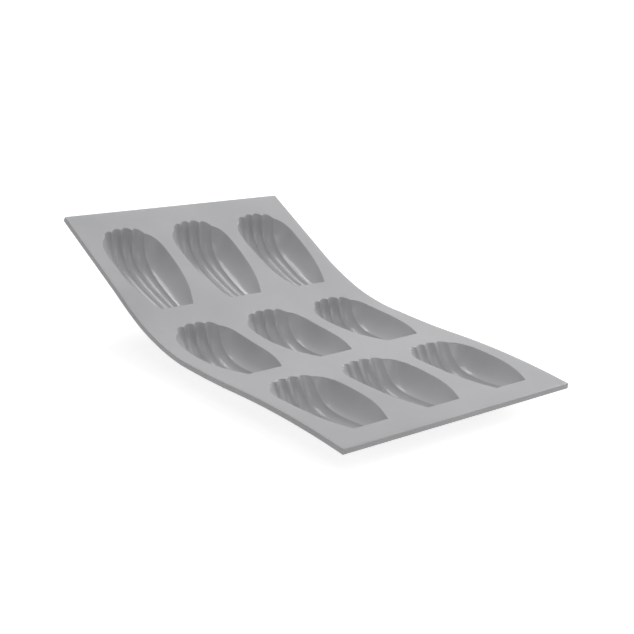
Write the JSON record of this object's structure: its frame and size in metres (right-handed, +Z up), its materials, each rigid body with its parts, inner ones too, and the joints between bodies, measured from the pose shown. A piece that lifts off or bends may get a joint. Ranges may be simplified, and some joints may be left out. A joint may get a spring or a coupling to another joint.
{
  "type": "madeleine pan",
  "caption": "Flexible madeleine pan: a thin rectangular sheet with rows of shell-shaped pockets that taper to a straight narrow end, lying with its back row bent up.",
  "frame": {"origin": "under the middle of the mould, on the surface that it stands on", "axes": "+Z up; +Y from the front edge, where the pockets' narrow ends point, to the raised back edge; +X to the right along the rows"},
  "size_m": [0.1764, 0.2914, 0.0783],
  "materials": {
    "silicone": "satin, light neutral grey, one moulding in one colour"
  },
  "bodies": {
    "middle_row": {"middle_sheet": "silicone", "front_web": "silicone", "back_web": "silicone", "middle_left_cup": "silicone", "middle_centre_cup": "silicone", "middle_right_cup": "silicone"},
    "front_row": {"front_sheet": "silicone", "front_left_cup": "silicone", "front_centre_cup": "silicone", "front_right_cup": "silicone"},
    "back_row": {"back_sheet": "silicone", "back_left_cup": "silicone", "back_centre_cup": "silicone", "back_right_cup": "silicone"}
  },
  "joints": [
    {"name": "front_flex", "type": "hinge", "parent": "middle_row", "child": "front_row", "pos_m": [-0.00015, -0.04343, 0.01871], "axis": [-1, 0, 0], "range_deg": [-90, 90], "stiffness_Nm_per_rad": 0.15, "deforming": ["front_web"]},
    {"name": "back_flex", "type": "hinge", "parent": "middle_row", "child": "back_row", "pos_m": [-0.0002, 0.05121, 0.02777], "axis": [0.9996, 0.0087, -0.0277], "range_deg": [-90, 90], "stiffness_Nm_per_rad": 0.15, "springref_deg": 9.74, "deforming": ["back_web"]}
  ]
}
